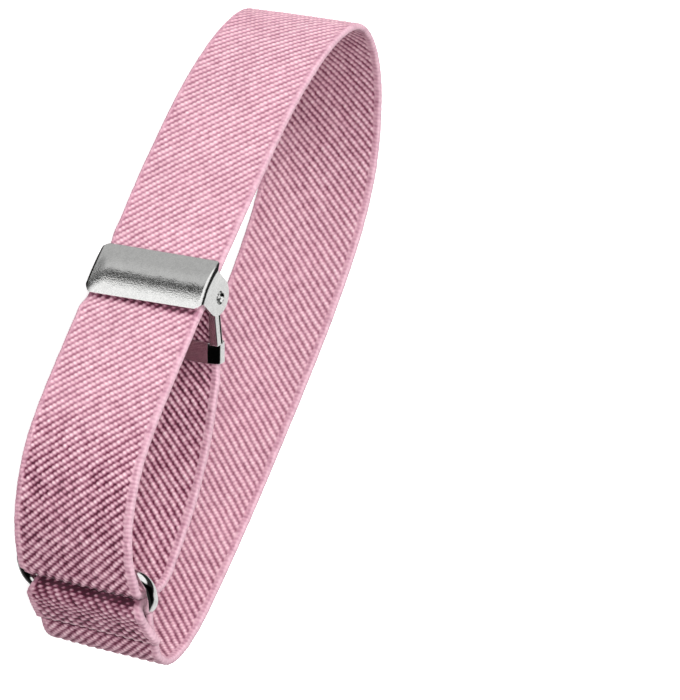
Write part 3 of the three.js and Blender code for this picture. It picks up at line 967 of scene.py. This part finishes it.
# ------------------------------------------------------------------ floor, light, camera
def floor():
    me = bpy.data.meshes.new("floor")
    s = 3.0
    me.from_pydata(
        [(-s, -s, 0), (s, -s, 0), (s, s, 0), (-s, s, 0)], [], [(0, 1, 2, 3)]
    )
    ob = bpy.data.objects.new("floor", me)
    bpy.context.scene.collection.objects.link(ob)
    n = Nodes("pale_floor")
    grain = n.noise(n.coordinates(), 40.0, 2.0)
    n.set(
        Base_Color=n.ramp(grain, [(0.0, (0.90, 0.90, 0.90)), (1.0, (0.93, 0.93, 0.93))]),
        Roughness=0.9,
        Specular_IOR_Level=0.1,
    )
    t = n.tree
    path = t.nodes.new("ShaderNodeLightPath")
    glow = t.nodes.new("ShaderNodeEmission")
    glow.inputs[1].default_value = 0.72
    lit = t.nodes.new("ShaderNodeAddShader")
    quiet = t.nodes.new("ShaderNodeBsdfDiffuse")
    quiet.inputs[0].default_value = (0.46, 0.44, 0.445, 1)
    pick = t.nodes.new("ShaderNodeMixShader")
    t.links.new(n.shader.outputs[0], lit.inputs[0])
    t.links.new(glow.outputs[0], lit.inputs[1])
    t.links.new(path.outputs["Is Camera Ray"], pick.inputs[0])
    t.links.new(quiet.outputs[0], pick.inputs[1])
    t.links.new(lit.outputs[0], pick.inputs[2])
    t.links.new(pick.outputs[0], t.nodes["Material Output"].inputs[0])
    me.materials.append(n.mat)
    ob.visible_glossy = False
    return ob


floor()


def area(name, towards, distance, size, power, colour=(1, 1, 1)):
    """A soft panel that looks at the object from that direction."""
    light = bpy.data.lights.new(name, "AREA")
    light.shape = "DISK"
    light.size = size
    light.energy = power
    light.color = colour
    ob = bpy.data.objects.new(name, light)
    d = Vector(towards).normalized()
    ob.location = d * distance + Vector((0, 0, 0.013))
    ob.rotation_mode = "QUATERNION"
    ob.rotation_quaternion = (-d).to_track_quat("-Z", "Y")
    ob.visible_glossy = False
    bpy.context.scene.collection.objects.link(ob)
    return ob


area("key", (-0.56, -0.66, 0.78), 0.9, 0.55, 6.4)
area("top", (-0.45, -0.10, 1.0), 1.0, 0.9, 1.2)
area("fill", (0.42, -0.76, 0.66), 0.9, 0.50, 5.3)


def world():
    w = bpy.data.worlds.new("studio")
    bpy.context.scene.world = w
    w.use_nodes = True
    t = w.node_tree
    t.nodes.clear()
    out = t.nodes.new("ShaderNodeOutputWorld")
    even = t.nodes.new("ShaderNodeBackground")
    even.inputs[0].default_value = (1, 1, 1, 1)
    seen = t.nodes.new("ShaderNodeBackground")
    seen.inputs[1].default_value = 1.0
    path = t.nodes.new("ShaderNodeLightPath")
    mix = t.nodes.new("ShaderNodeMixShader")
    coords = t.nodes.new("ShaderNodeTexCoord")
    split = t.nodes.new("ShaderNodeSeparateXYZ")
    t.links.new(coords.outputs["Generated"], split.inputs[0])

    def math_node(op, a, b=0.0, c=0.0):
        n = t.nodes.new("ShaderNodeMath")
        n.operation = op
        for socket, value in zip(n.inputs, (a, b, c)):
            if isinstance(value, bpy.types.NodeSocket):
                t.links.new(value, socket)
            else:
                socket.default_value = value
        return n.outputs[0]

    def ramp(value, stops, kind="LINEAR"):
        n = t.nodes.new("ShaderNodeValToRGB")
        n.color_ramp.interpolation = kind
        e = n.color_ramp.elements
        while len(e) < len(stops):
            e.new(0.5)
        for element, (at, grey) in zip(e, stops):
            element.position = at
            element.color = (grey, grey, grey, 1)
        t.links.new(value, n.inputs[0])
        return n.outputs[0]

    x, y, z = split.outputs
    t.links.new(
        math_node("MAXIMUM", math_node("MULTIPLY_ADD", x, -0.16, 0.34), 0.03), even.inputs[1]
    )
    heading = math_node("DIVIDE", math_node("ARCTAN2", y, x), 2 * math.pi)
    heading = math_node("ADD", heading, 0.5)  # 0 to 1 round the horizon, from -X by -Y
    low = ramp(
        heading,
        [
            (0.00, 0.38),
            (0.06, 0.46),
            (0.13, 0.46),
            (0.188, 0.58),
            (0.203, 0.04),
            (0.240, 0.05),
            (0.260, 0.98),
            (0.35, 1.00),
            (0.385, 0.30),
            (0.40, 0.02),
            (0.56, 0.02),
            (0.64, 0.70),
            (0.80, 0.62),
            (1.00, 0.34),
        ],
    )
    nadir = ramp(math_node("MULTIPLY_ADD", z, 0.5, 0.5), [(0.0, 0.0), (0.06, 0.02), (0.11, 1.0)])
    low = math_node("MULTIPLY", low, nadir)
    high = ramp(
        math_node("MULTIPLY_ADD", y, 0.5, 0.5),
        [
            (0.00, 0.98),
            (0.17, 1.00),
            (0.21, 0.60),
            (0.24, 0.02),
            (0.68, 0.02),
            (0.74, 0.74),
            (1.00, 0.82),
        ],
    )
    beam = ramp(heading, [(0.36, 1.0), (0.40, 0.05), (0.54, 0.05), (0.60, 1.0)])
    high = math_node("MULTIPLY", high, beam)
    up = t.nodes.new("ShaderNodeMapRange")
    up.interpolation_type = "SMOOTHSTEP"
    up.inputs["From Min"].default_value = -0.12
    up.inputs["From Max"].default_value = 0.10
    t.links.new(z, up.inputs["Value"])
    both = t.nodes.new("ShaderNodeMix")
    both.data_type = "RGBA"
    t.links.new(up.outputs["Result"], both.inputs[0])
    t.links.new(low, both.inputs[6])
    t.links.new(high, both.inputs[7])
    t.links.new(both.outputs[2], seen.inputs[0])
    t.links.new(path.outputs["Is Glossy Ray"], mix.inputs[0])
    t.links.new(even.outputs[0], mix.inputs[1])
    t.links.new(seen.outputs[0], mix.inputs[2])
    t.links.new(mix.outputs[0], out.inputs[0])


world()

# the photograph's viewpoint, in the band's level frame
EYE = (204.044, -506.253, 332.649)
RIGHT = (-0.348874, 0.356159, 0.866855)
UP = (-0.876862, -0.450506, -0.167805)
FORWARD = (-0.330758, 0.818655, -0.469472)
camera = bpy.data.cameras.new("camera")
camera.sensor_width = 36.0
camera.lens = 170.318
camera.clip_start, camera.clip_end = 0.01, 20.0
eye = bpy.data.objects.new("camera", camera)
bpy.context.scene.collection.objects.link(eye)
r, u, f = (turn([v])[0] for v in (RIGHT, UP, FORWARD))
rotation = Matrix(
    ((r[0], u[0], -f[0]), (r[1], u[1], -f[1]), (r[2], u[2], -f[2]))
).to_4x4()
eye.matrix_world = Matrix.Translation(Vector(place([EYE])[0])) @ rotation
bpy.context.scene.camera = eye
bpy.context.scene.view_settings.view_transform = "Standard"
